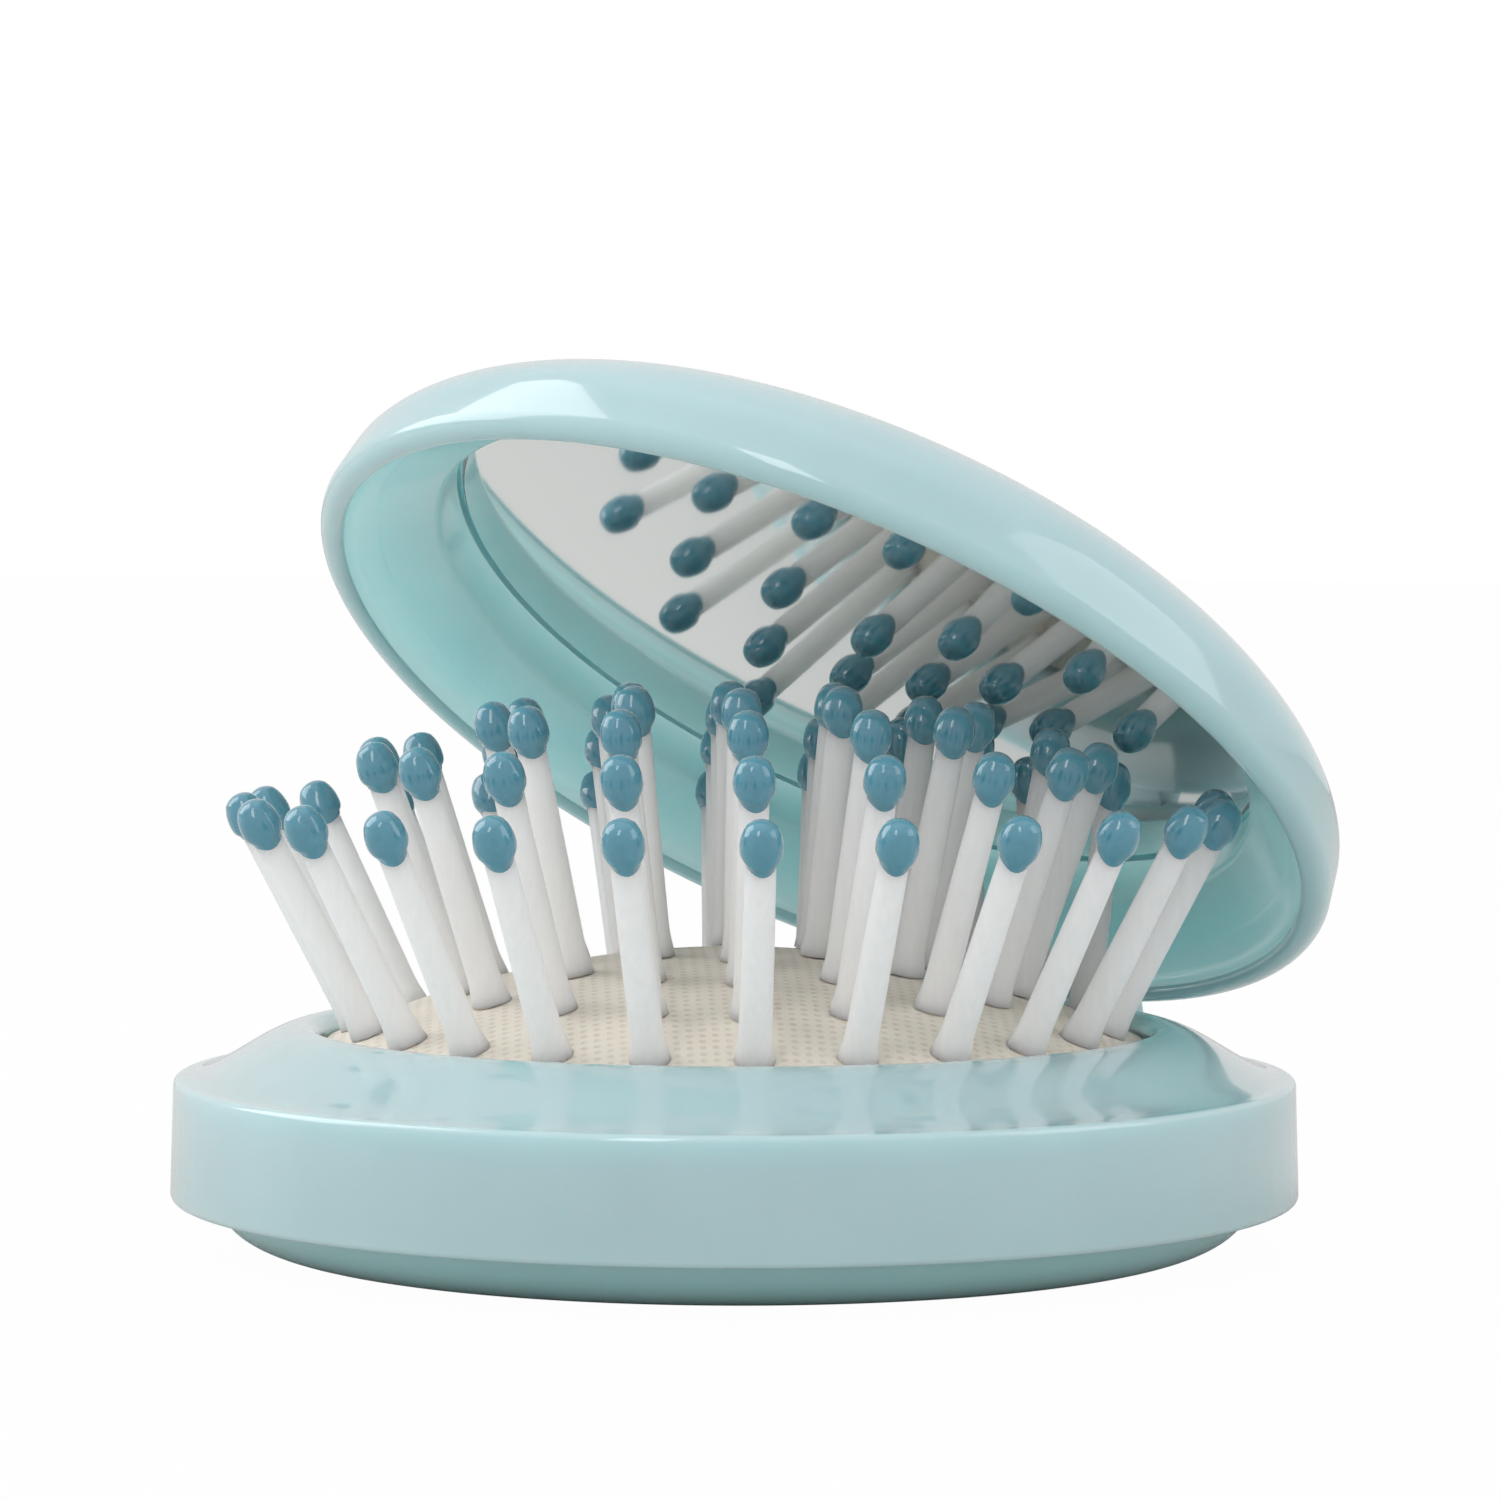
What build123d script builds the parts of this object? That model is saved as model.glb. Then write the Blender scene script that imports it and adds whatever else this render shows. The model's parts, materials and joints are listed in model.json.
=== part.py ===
from build123d import *
from math import asin, cos, degrees, radians, sin, sqrt, tan
import os

# Round folding hairbrush with a mirror lid, brush raised and lid part open.
# Millimetres. +Z is up, +Y points at the hinge, and the origin is the middle of the foot.

# Case: the base ring and the lid share one outline
CASE_R = 36.0  # outer radius at the ring's bottom edge
RING_WALL = 2.45  # from that edge in to the button's bore
CASE_DRAFT = 0.2  # how far the ring's side leans in by its top edge
BAND_H = 7.7  # height of the ring's side
EDGE = 0.4  # bevel on the outer edges
LIP_RISE = 3.2  # height of the mouth's lip above the side's top edge
LIP_W = 1.1  # radius of the rounded lip
MOUTH_INSET = 9.5  # from the ring's outer edge in to the mouth that the cushion fills
LIP_DEPTH = 1.85  # height of the lip above the shelf that the cushion hangs from
SHELL_WALL = 1.2  # thickness above the button's bore
POCKET_RIM = 1.4  # width of the ring that centres the retainer
POCKET_H = 1.6  # depth of that ring

# Push button: the domed foot that slides in the base
FOOT_DROP = 3.25  # how far the foot stands below the ring
FOOT_INSET = 6.0  # from the skirt in to the edge of the foot's flat
BUTTON_WALL = 1.4
BUTTON_FLOOR = 1.1
BUTTON_TRAVEL = 5.3  # how far the button comes out when the brush sinks
BUTTON_GAP = 0.15  # running gap between skirt and base
STOP_LIP = 0.4  # width of the lip that keeps the button in
STOP_H = 0.7  # height of that lip
BEAD_H = 0.35  # height of the bead that stops the lip
BOSS_R = 5.0
BUTTON_RIBS = 12
RIB_T = 1.0
RIB_H = 2.4  # height of a rib above the button's floor

# Cushion: a rubber cap on a sphere
CUSHION_RISE = 5.8  # height of the crown above its rim
CUSHION_T = 1.0
CUSHION_GAP = 0.3  # gap between the cushion and the mouth
CUSHION_DROP = 1.05  # depth of the cushion's rim below the lip
FLANGE_W = 3.0
FLANGE_T = 1.0
RETAINER_T = 1.2
RETAINER_SKIRT = 1.4  # depth of the stiffening rim under the retainer
PLATE_INSET = 6.7  # from the cushion's edge in to the plate that carries the inner pins
PLATE_T = 1.1
PLATE_GAP = 0.3
FIT_GAP = 0.1

# Pins and their ball tips, in four rings
RING_NAMES = ["inner", "second", "third", "outer"]
PINS_PER_RING = [6, 12, 18, 24]
RING_INSET = 2.2  # from the cushion's edge in to the outer ring
PIN_LEAN = [5.8, 12.4, 19.5, 28.0]  # outward lean of each ring, degrees
LID_SIDE_RELIEF = [0.0, 3.0, 18.5, 34.5]  # lean taken off next to the hinge
PIN_TURN = 15.5  # direction of each ring's first pin, degrees from +X
PIN_REACH = [15.65, 15.7, 15.3, 15.0]  # from the cushion to the middle of a tip
PIN_FOOT_R = 1.5
PIN_NECK_R = 1.12
PIN_NECK_H = 2.4
PIN_TOP_R = 1.0
PIN_STEM_R = 0.8
STEM_GAP = 0.25
TIP_R = 1.32
TIP_H = 3.5
ROUND_SIDES = 8  # flats around a pin
BRUSH_TRAVEL = 17.1  # how far the plate sinks when the lid is shut

# Lid and mirror
LID_ANGLE = 33.8  # how far the lid stands open, degrees
LID_SEAT = 0.45  # gap between the shut lid and the ring's top edge
LID_INSET = 0.8  # how far the lid, above its rounded rim, stands in from the ring's outer edge
RIM_W = 1.8  # thickness of the wall at the rim
RIM_ROUND = 1.2  # radius of the rim's outer edge
RIM_RISE = 0.6  # how far the rim's inner edge stands back, to clear the base's shoulder
LID_H = 10.3  # height of the crown above the rim
CROWN_INSET = 8.7  # from the lid's outer wall in to where the shoulder meets the crown
LID_CROWN_RISE = 1.0
SHOULDER_H = 3.45  # height where the shoulder starts
SHOULDER_IN = 0.32  # how far the wall leans in up to there
LEDGE_W = 1.6  # width of the ledge around the mirror
ROOF_T = 2.73  # from the ledge up to the crown: the glass, its tape and the lid's top
MIRROR_INSET = 7.05  # from the lid's outer wall in to the glass
MIRROR_T = 0.55
MIRROR_SINK = 0.13  # depth of the glass below the ledge
MIRROR_GAP = 0.2
TAPE_INSET = 1.3  # from the edge of the glass in to the tape
TAPE_T = 0.1

# Hinge
HINGE_OUT = 2.27  # from the ring's outer edge out to the axis
HINGE_RISE = 6.68  # height of the axis above the ring's bottom edge
BARREL_R = 1.3
PIN_R = 0.75
PIN_CLEAR = 0.03
HINGE_W = 14.0
LID_KNUCKLE_W = 5.8
KNUCKLE_GAP = 0.2
PIN_SHORT = 0.1  # how far the pin stops short of the knuckles' ends
WEB_DEPTH = 3.6

# Heights and radii that follow from the sizes above
BAND_Z = FOOT_DROP
TOP_Z = BAND_Z + BAND_H
LEDGE_H = LID_H - ROOF_T
LIP_Z = TOP_Z + LIP_RISE
SHELF_Z = LIP_Z - LIP_DEPTH
TOP_R = CASE_R - CASE_DRAFT
BORE_R = CASE_R - RING_WALL
BEAD_R = BORE_R - STOP_LIP
BUTTON_R = BEAD_R - BUTTON_GAP
FOOT_R = BUTTON_R - FOOT_INSET
BORE_TOP = TOP_Z - SHELL_WALL
MOUTH_R = CASE_R - MOUTH_INSET
CUSHION_R = MOUTH_R - CUSHION_GAP
FLANGE_R = CUSHION_R + FLANGE_W
POCKET_R = FLANGE_R + CUSHION_GAP
CUSHION_RIM_Z = LIP_Z - CUSHION_DROP
CROWN_Z = CUSHION_RIM_Z + CUSHION_RISE
CROWN_R = (CUSHION_R**2 + CUSHION_RISE**2) / (2 * CUSHION_RISE)
FLANGE_Z = SHELF_Z - FIT_GAP
PLATE_R = CUSHION_R - PLATE_INSET
RING_PITCH = (CUSHION_R - RING_INSET) / len(PINS_PER_RING)
LID_R = CASE_R - LID_INSET
LID_CROWN_R = LID_R - CROWN_INSET
MIRROR_R = LID_R - MIRROR_INSET
LEDGE_R = MIRROR_R + LEDGE_W
TAPE_R = MIRROR_R - TAPE_INSET
HINGE_Y = CASE_R + HINGE_OUT
HINGE_Z = BAND_Z + HINGE_RISE
LID_Z = TOP_Z + LID_SEAT
HINGE_AXIS = Axis((0, HINGE_Y, HINGE_Z), (-1, 0, 0))


def turned(outline):
    """Turns a closed outline of radius and height about Z."""
    return revolve(Plane.XZ * make_face(outline), Axis.Z)


def cap_drop(radius, edge_r, rise):
    """How far a spherical cap falls, at a radius, below its crown."""
    ball_r = (edge_r**2 + rise**2) / (2 * rise)
    return ball_r - sqrt(ball_r**2 - radius**2)


def ball_height(radius, depth=0.0):
    """Height, at a radius, of the sphere that lies a depth below the cushion's top."""
    return CROWN_Z - CROWN_R + sqrt((CROWN_R - depth) ** 2 - radius**2)


def ball_arc(r_from, r_to, depth=0.0):
    """Arc of that sphere between two radii."""
    middle = (r_from + r_to) / 2
    points = [(r, ball_height(r, depth)) for r in (r_from, middle, r_to)]
    return ThreePointArc(*points)


def knuckle(web, x_from, x_to):
    """Hinge barrel on its web, between two places along the axis."""
    barrel = Pos(HINGE_Y, HINGE_Z) * Circle(BARREL_R)
    section = make_face(Polyline(*web, close=True)) + barrel
    section -= Pos(HINGE_Y, HINGE_Z) * Circle(PIN_R + PIN_CLEAR)
    return Pos(X=x_from) * extrude(Plane.YZ * section, x_to - x_from)


def base_shell():
    """Ring, domed shoulder and lip in one moulding, with the two outer knuckles."""
    shoulder_r = TOP_R - EDGE
    lip_r = MOUTH_R + LIP_W
    run = shoulder_r - lip_r
    pocket_z = SHELF_Z - POCKET_H
    lip_low = (MOUTH_R, LIP_Z - LIP_W)
    outline = Polyline(
        (BEAD_R, BAND_Z),
        (CASE_R - EDGE, BAND_Z),
        (CASE_R, BAND_Z + EDGE),
        (TOP_R, TOP_Z - EDGE),
        (shoulder_r, TOP_Z),
    )
    outline += Bezier(
        (shoulder_r, TOP_Z),
        (shoulder_r - 0.31 * run, TOP_Z),
        (lip_r + 0.33 * run, LIP_Z),
        (lip_r, LIP_Z),
    )
    outline += RadiusArc((lip_r, LIP_Z), lip_low, -LIP_W)
    outline += Polyline(
        lip_low,
        (MOUTH_R, SHELF_Z),
        (POCKET_R, SHELF_Z),
        (POCKET_R, pocket_z),
        (POCKET_R + POCKET_RIM, pocket_z),
        (BORE_R, BORE_TOP),
        (BORE_R, BAND_Z + BEAD_H),
        (BEAD_R, BAND_Z + BEAD_H),
        (BEAD_R, BAND_Z),
    )
    shell = turned(outline)
    half = HINGE_W / 2
    inner = LID_KNUCKLE_W / 2 + KNUCKLE_GAP
    root_y = sqrt(CASE_R**2 - half**2) - EDGE
    web = [
        (root_y, HINGE_Z),
        (root_y, HINGE_Z - WEB_DEPTH),
        (CASE_R, HINGE_Z - WEB_DEPTH),
        (HINGE_Y + BARREL_R, HINGE_Z),
    ]
    return shell + knuckle(web, -half, -inner) + knuckle(web, inner, half)


def push_button():
    """Domed foot with its skirt, stop lip, boss and ribs."""
    skirt_top = BORE_TOP - FIT_GAP
    floor_r = BUTTON_R - BUTTON_WALL
    boss_z = CROWN_Z - CUSHION_T - PLATE_GAP - PLATE_T
    boss_z += BUTTON_TRAVEL - BRUSH_TRAVEL - PLATE_GAP
    outline = Line((0, 0), (FOOT_R, 0))
    outline += Bezier(
        (FOOT_R, 0),
        (FOOT_R + 0.66 * (BUTTON_R - FOOT_R), 0),
        (BUTTON_R, 0.5 * BAND_Z),
        (BUTTON_R, BAND_Z),
    )
    outline += Polyline(
        (BUTTON_R, BAND_Z),
        (BUTTON_R, skirt_top - STOP_H),
        (BUTTON_R + STOP_LIP, skirt_top - STOP_H),
        (BUTTON_R + STOP_LIP, skirt_top),
        (floor_r, skirt_top),
        (floor_r, BAND_Z + EDGE),
        (FOOT_R + BUTTON_WALL, BUTTON_FLOOR),
        (BOSS_R, BUTTON_FLOOR),
        (BOSS_R, boss_z),
        (0, boss_z),
        (0, 0),
    )
    button = turned(outline)
    rib_in = PLATE_R + BUTTON_WALL
    mid_wall = BUTTON_WALL / 2
    rib_outline = Polyline(
        (rib_in, BUTTON_FLOOR / 2),
        (FOOT_R + mid_wall, BUTTON_FLOOR / 2),
        (floor_r + mid_wall, BAND_Z + EDGE),
        (floor_r + mid_wall, BUTTON_FLOOR + RIB_H),
        (FOOT_R, BUTTON_FLOOR + RIB_H),
        close=True,
    )
    rib = extrude(Plane.XZ * make_face(rib_outline), RIB_T / 2, both=True)
    return button + [Rot(Z=360 * i / BUTTON_RIBS) * rib for i in range(BUTTON_RIBS)]


def cushion_pad(places):
    """Rubber cap with a clamped flange, and a hole for each pin's stem."""
    inner_r = CUSHION_R - CUSHION_T
    flange_low = FLANGE_Z - FLANGE_T
    outline = ball_arc(0, CUSHION_R)
    outline += Polyline(
        (CUSHION_R, ball_height(CUSHION_R)),
        (CUSHION_R, FLANGE_Z),
        (FLANGE_R, FLANGE_Z),
        (FLANGE_R, flange_low),
        (inner_r, flange_low),
        (inner_r, ball_height(inner_r, CUSHION_T)),
    )
    outline += ball_arc(inner_r, 0, CUSHION_T)
    outline += Line((0, CROWN_Z - CUSHION_T), (0, CROWN_Z))
    reach = 4 * CUSHION_T
    bore = extrude(RegularPolygon(PIN_STEM_R + STEM_GAP, ROUND_SIDES), reach, both=True)
    holes = [place * bore for ring in places for place in ring]
    return turned(outline) - holes


def cushion_retainer():
    """Ring that clamps the cushion's flange from below, stiffened by a rim."""
    top = FLANGE_Z - FLANGE_T
    low = top - RETAINER_T
    inner_r = CUSHION_R - CUSHION_T
    outer_r = POCKET_R - FIT_GAP
    outline = Polyline(
        (inner_r, top),
        (outer_r, top),
        (outer_r, low),
        (inner_r + RETAINER_T, low),
        (inner_r + RETAINER_T, low - RETAINER_SKIRT),
        (inner_r, low - RETAINER_SKIRT),
        close=True,
    )
    return turned(outline)


def pin_plate():
    """Domed plate under the cushion that carries the three inner rings."""
    top = CUSHION_T + PLATE_GAP
    low = top + PLATE_T
    outline = ball_arc(0, PLATE_R, top)
    outline += Line((PLATE_R, ball_height(PLATE_R, top)), (PLATE_R, ball_height(PLATE_R, low)))
    outline += ball_arc(PLATE_R, 0, low)
    outline += Line((0, CROWN_Z - low), (0, CROWN_Z - top))
    return turned(outline)


def pin_lean(ring, direction):
    """Lean of a pin: less beside the hinge, where the lid hangs low."""
    off_hinge = direction - 90
    relief = max(0.0, cos(radians(2 * off_hinge))) ** 0.75
    if sin(radians(direction)) < 0:
        relief = 0.0
    return PIN_LEAN[ring] - LID_SIDE_RELIEF[ring] * relief


def slant(ring, direction):
    """Angle between a pin and the cushion's surface normal."""
    normal = degrees(asin(RING_PITCH * (ring + 1) / CROWN_R))
    return abs(pin_lean(ring, direction) - normal)


def pin_directions(ring):
    count = PINS_PER_RING[ring]
    return [PIN_TURN + 360 * i / count for i in range(count)]


def pin_place(ring, direction):
    """Where a pin crosses the cushion's surface, with its lean."""
    radius = RING_PITCH * (ring + 1)
    lean = Rot(Y=pin_lean(ring, direction))
    return Rot(Z=direction) * Pos(radius, 0, ball_height(radius)) * lean


def round_bar(sizes):
    """Bar through a list of radius and height, with flats all round."""
    return loft([Pos(Z=z) * RegularPolygon(r, ROUND_SIDES) for r, z in sizes], ruled=True)


def pin(ring, direction):
    """Nylon pin: a flared foot, a tapered shaft and a stem through the cushion."""
    tilt = radians(slant(ring, direction))
    backing = 0.0 if RING_NAMES[ring] == "outer" else PLATE_GAP
    foot = FIT_GAP / 2 + PIN_FOOT_R * tan(tilt)
    stem = (CUSHION_T + backing) / cos(tilt) - PIN_STEM_R * tan(tilt)
    top = PIN_REACH[ring] - TIP_H / 2
    shaft = round_bar([(PIN_FOOT_R, foot), (PIN_NECK_R, foot + PIN_NECK_H), (PIN_TOP_R, top)])
    peg = extrude(RegularPolygon(PIN_STEM_R, ROUND_SIDES), foot + stem)
    return shaft + Pos(Z=-stem) * peg


def ball_tip(ring):
    """Egg-shaped tip, blunt end up, seated on the end of a pin."""
    low = PIN_REACH[ring] - TIP_H / 2
    sizes = [(PIN_TOP_R, 0.0), (TIP_R, 0.3), (TIP_R, 0.55), (0.78 * TIP_R, 0.82), (0.3 * TIP_R, 1.0)]
    return round_bar([(r, low + share * TIP_H) for r, share in sizes])


def opened(shape):
    """Swings a piece of the shut lid to where the lid stands open."""
    return shape.rotate(HINGE_AXIS, LID_ANGLE)


def lid_shell():
    """Shallow cap with a rounded rim, a ledge and a recess for the mirror."""
    rim_in = LID_R - RIM_W
    shoulder_r = LID_R - SHOULDER_IN
    shoulder_z = LID_Z + SHOULDER_H
    lean = SHOULDER_IN / (SHOULDER_H - RIM_ROUND)
    crown_z = LID_Z + LID_H - LID_CROWN_RISE
    crown_slope = 2 * LID_CROWN_RISE / LID_CROWN_R
    climb = 0.4 * (crown_z - shoulder_z)
    reach = 0.5 * (shoulder_r - LID_CROWN_R)
    ledge_z = LID_Z + LEDGE_H
    recess_r = MIRROR_R + MIRROR_GAP
    recess_z = ledge_z + MIRROR_SINK + MIRROR_T + TAPE_T
    outline = RadiusArc((LID_R - RIM_ROUND, LID_Z), (LID_R, LID_Z + RIM_ROUND), -RIM_ROUND)
    outline += Line((LID_R, LID_Z + RIM_ROUND), (shoulder_r, shoulder_z))
    outline += Bezier(
        (shoulder_r, shoulder_z),
        (shoulder_r - lean * climb, shoulder_z + climb),
        (LID_CROWN_R + reach, crown_z - crown_slope * reach),
        (LID_CROWN_R, crown_z),
    )
    middle_r = LID_CROWN_R / 2
    middle_drop = cap_drop(middle_r, LID_CROWN_R, LID_CROWN_RISE)
    outline += ThreePointArc(
        (LID_CROWN_R, crown_z), (middle_r, LID_Z + LID_H - middle_drop), (0, LID_Z + LID_H)
    )
    outline += Polyline(
        (0, LID_Z + LID_H), (0, recess_z), (recess_r, recess_z), (recess_r, ledge_z), (LEDGE_R, ledge_z)
    )
    outline += Bezier(
        (LEDGE_R, ledge_z),
        (LEDGE_R + 0.55 * (rim_in - LEDGE_R), ledge_z),
        (rim_in, LID_Z + 0.55 * LEDGE_H),
        (rim_in, LID_Z + RIM_RISE),
    )
    outline += Line((rim_in, LID_Z + RIM_RISE), (LID_R - RIM_ROUND, LID_Z))
    half = LID_KNUCKLE_W / 2
    web_y = HINGE_Y - BARREL_R + FIT_GAP
    web = [
        (web_y, HINGE_Z),
        (web_y, LID_Z),
        (LID_R - RIM_ROUND, LID_Z),
        (LID_R - RIM_ROUND, LID_Z + WEB_DEPTH),
        (LID_R - EDGE, LID_Z + WEB_DEPTH),
        (HINGE_Y + BARREL_R, HINGE_Z),
    ]
    return opened(turned(outline) + knuckle(web, -half, half))


def disc(radius, low, high):
    return Pos(Z=(low + high) / 2) * Cylinder(radius, high - low)


def mirror_glass():
    low = LID_Z + LEDGE_H + MIRROR_SINK
    glass = disc(MIRROR_R, low, low + MIRROR_T)
    return opened(chamfer(glass.edges().filter_by(GeomType.CIRCLE), MIRROR_T / 8))


def mirror_tape():
    low = LID_Z + LEDGE_H + MIRROR_SINK + MIRROR_T
    return opened(disc(TAPE_R, low, low + TAPE_T))


def hinge_pin():
    rod = Rot(Y=90) * Cylinder(PIN_R, HINGE_W - 2 * PIN_SHORT)
    return Pos(0, HINGE_Y, HINGE_Z) * rod


def main():
    os.makedirs("parts", exist_ok=True)
    directions = [pin_directions(ring) for ring in range(len(RING_NAMES))]
    places = [[pin_place(ring, d) for d in turns] for ring, turns in enumerate(directions)]
    parts = {
        "base_shell": base_shell(),
        "push_button": push_button(),
        "cushion_pad": cushion_pad(places),
        "cushion_retainer": cushion_retainer(),
        "pin_plate": pin_plate(),
        "lid_shell": lid_shell(),
        "mirror_glass": mirror_glass(),
        "mirror_tape": mirror_tape(),
        "hinge_pin": hinge_pin(),
    }
    for ring, name in enumerate(RING_NAMES):
        tip = ball_tip(ring)
        pins = [place * pin(ring, d) for place, d in zip(places[ring], directions[ring])]
        parts["pins_" + name] = Compound(children=pins)
        parts["tips_" + name] = Compound(children=[place * tip for place in places[ring]])
    for name, shape in parts.items():
        export_step(shape, os.path.join("parts", name + ".step"))


main()
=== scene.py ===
"""Folding hairbrush with a mirror lid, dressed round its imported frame."""

import json
from math import asin, atan2, cos, degrees, pi, radians, sin, sqrt

import bpy
from bpy.props import FloatProperty, FloatVectorProperty, IntProperty, PointerProperty
from bpy.types import Operator, Panel, PropertyGroup
from mathutils import Matrix, Quaternion, Vector


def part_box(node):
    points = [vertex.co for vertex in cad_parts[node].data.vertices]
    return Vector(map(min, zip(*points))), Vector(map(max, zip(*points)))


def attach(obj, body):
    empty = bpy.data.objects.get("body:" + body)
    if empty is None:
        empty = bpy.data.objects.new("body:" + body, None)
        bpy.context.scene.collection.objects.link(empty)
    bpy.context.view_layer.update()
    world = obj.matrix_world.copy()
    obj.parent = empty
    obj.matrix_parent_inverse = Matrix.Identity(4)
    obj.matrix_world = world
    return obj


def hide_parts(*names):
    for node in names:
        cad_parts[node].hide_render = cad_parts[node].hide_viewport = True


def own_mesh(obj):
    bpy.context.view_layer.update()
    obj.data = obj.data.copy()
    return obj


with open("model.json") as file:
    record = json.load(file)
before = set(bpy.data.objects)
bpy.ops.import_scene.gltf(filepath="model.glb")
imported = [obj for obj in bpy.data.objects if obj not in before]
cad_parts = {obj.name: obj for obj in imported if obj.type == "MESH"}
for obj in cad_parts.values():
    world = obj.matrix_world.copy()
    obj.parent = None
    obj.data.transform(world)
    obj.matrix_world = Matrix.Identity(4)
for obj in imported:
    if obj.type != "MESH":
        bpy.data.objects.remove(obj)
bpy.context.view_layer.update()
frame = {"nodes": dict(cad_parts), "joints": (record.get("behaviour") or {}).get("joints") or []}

bl_info = {
    "name": "Folding hairbrush",
    "version": (1, 0, 0),
    "blender": (4, 5, 0),
    "location": "View3D > Sidebar > Hairbrush",
    "description": "Builds the pieces of a folding hairbrush with a mirror lid",
    "category": "Object",
}

MM = 0.001
HINGE = next(j for j in frame["joints"] if j["name"] == "lid_open")["pos_m"]
HINGE_POINT = Vector(HINGE)
RING_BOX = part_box("base_shell")
CROWN_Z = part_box("cushion_pad")[1][2]

PIN_RINGS = ("inner", "second", "third", "outer")
PINS_IN_RING = (6, 12, 18, 24)
PIN_LEAN = (5.8, 12.4, 19.5, 28.0)  # outward lean of each ring, degrees
LID_SIDE_RELIEF = (0.0, 3.0, 18.5, 34.5)  # lean taken off next to the hinge, degrees
PIN_REACH = (15.65, 15.7, 15.3, 15.0)  # from the cushion to the middle of a tip, mm
PIN_TURN = 15.5  # direction of each ring's first pin, degrees from +X

STUDIO_MIDDLE = Vector((0, 0, 0.02))  # where every lamp points
CAMERA_PLACE = Vector((0.2355, -0.2553, 0.0465))
CAMERA_AIM = Vector((-0.6755, 0.7362, -0.0427))
FLOOR_SIZE = 6.0
FLOOR_Z = -0.05 * MM


def size(label, text, value):
    """A length in metres that the user can change, given in millimetres."""
    return FloatProperty(name=label, description=text, default=value * MM, unit="LENGTH", precision=5)


def angle(label, text, value):
    """An angle in radians that the user can change, given in degrees."""
    return FloatProperty(name=label, description=text, default=radians(value), subtype="ANGLE")


def amount(label, text, value):
    """A plain number that the user can change."""
    return FloatProperty(name=label, description=text, default=value)


def power(label, text, value):
    """A lamp's power in watts that the user can change."""
    return FloatProperty(name=label, description=text, default=value, unit="POWER")


def colour(label, text, value):
    """A colour that the user can change."""
    return FloatVectorProperty(name=label, description=text, default=value, size=3, subtype="COLOR")


class CaseSettings(PropertyGroup):
    """Base ring with its shoulder, lip and underside."""

    ring_radius: size("Ring radius", "Radius at the ring's bottom edge", 36.0)
    draft: size("Draft", "How far the ring's side leans in by its top edge", 0.2)
    band_height: size("Band height", "Height of the ring's side", 7.7)
    edge_round: size("Edge round", "Radius of the ring's outer edges", 0.4)
    lip_rise: size("Lip rise", "Height of the lip above the ring's side", 3.2)
    lip_radius: size("Lip round", "Radius of the rounded lip", 1.1)
    mouth_radius: size("Mouth radius", "Radius of the hole that the cushion fills", 26.5)
    shelf_depth: size("Shelf depth", "Depth of the cushion's shelf below the lip", 1.85)
    flange_radius: size("Pocket radius", "Radius of the pocket for the cushion's flange", 29.5)
    pocket_depth: size("Pocket depth", "Height of that pocket", 1.6)
    pocket_step: size("Pocket step", "Width of the step outside the pocket", 1.4)
    bore_radius: size("Bore radius", "Radius of the bore that the foot slides in", 33.55)
    roof: size("Roof", "Thickness of the shoulder above the bore", 1.2)
    bead_width: size("Bead width", "How far the stop bead stands into the bore", 0.4)
    bead_height: size("Bead height", "Height of the stop bead", 0.35)
    tint: colour("Case colour", "Colour of the case plastic", (0.445, 0.620, 0.648))


class ButtonSettings(PropertyGroup):
    """Domed foot that is pressed to raise the brush."""

    foot_radius: size("Foot radius", "Radius of the foot's flat", 27.0)
    skirt_radius: size("Skirt radius", "Radius of the skirt in the bore", 33.0)
    wall: size("Wall", "Thickness of the skirt and floor", 1.4)
    drop: size("Drop", "How far the foot stands below the ring", 3.25)
    floor_height: size("Floor", "Height of the floor inside the foot", 1.1)
    boss_radius: size("Boss radius", "Radius of the boss on that floor", 5.0)
    boss_height: size("Boss height", "Height of the top of that boss", 4.4)
    lip_width: size("Lip width", "How far the stop lip stands out of the skirt", 0.4)
    lip_height: size("Lip height", "Height of the stop lip", 0.7)
    # Painted light: the foot's tint is the case plastic made lighter and greener to paint in the light
    # that the floor bounces up under it
    tint: colour("Foot colour", "Colour of the foot plastic", (0.43, 0.715, 0.72))


class CushionSettings(PropertyGroup):
    """Rubber cushion in the mouth of the base."""

    radius: size("Radius", "Radius of the cushion's dome", 26.2)
    rise: size("Rise", "Height of the dome's crown above its rim", 5.8)
    thickness: size("Thickness", "Thickness of the rubber", 1.0)
    flange: size("Flange", "Thickness of the clamped flange", 1.0)
    edge_round: size("Edge round", "Radius of the dome's edge", 0.35)
    dot_pitch: size("Dot pitch", "Spacing of the embossed dots", 0.56)
    tint: colour("Cushion colour", "Colour of the rubber", (0.80, 0.74, 0.65))
    # Painted shade: this darker tint, drawn into the sunk dots, stands for the shade in each dimple
    dimple_shade_tint: colour("Dot colour", "Colour of the embossed dots", (0.66, 0.585, 0.485))


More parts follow.
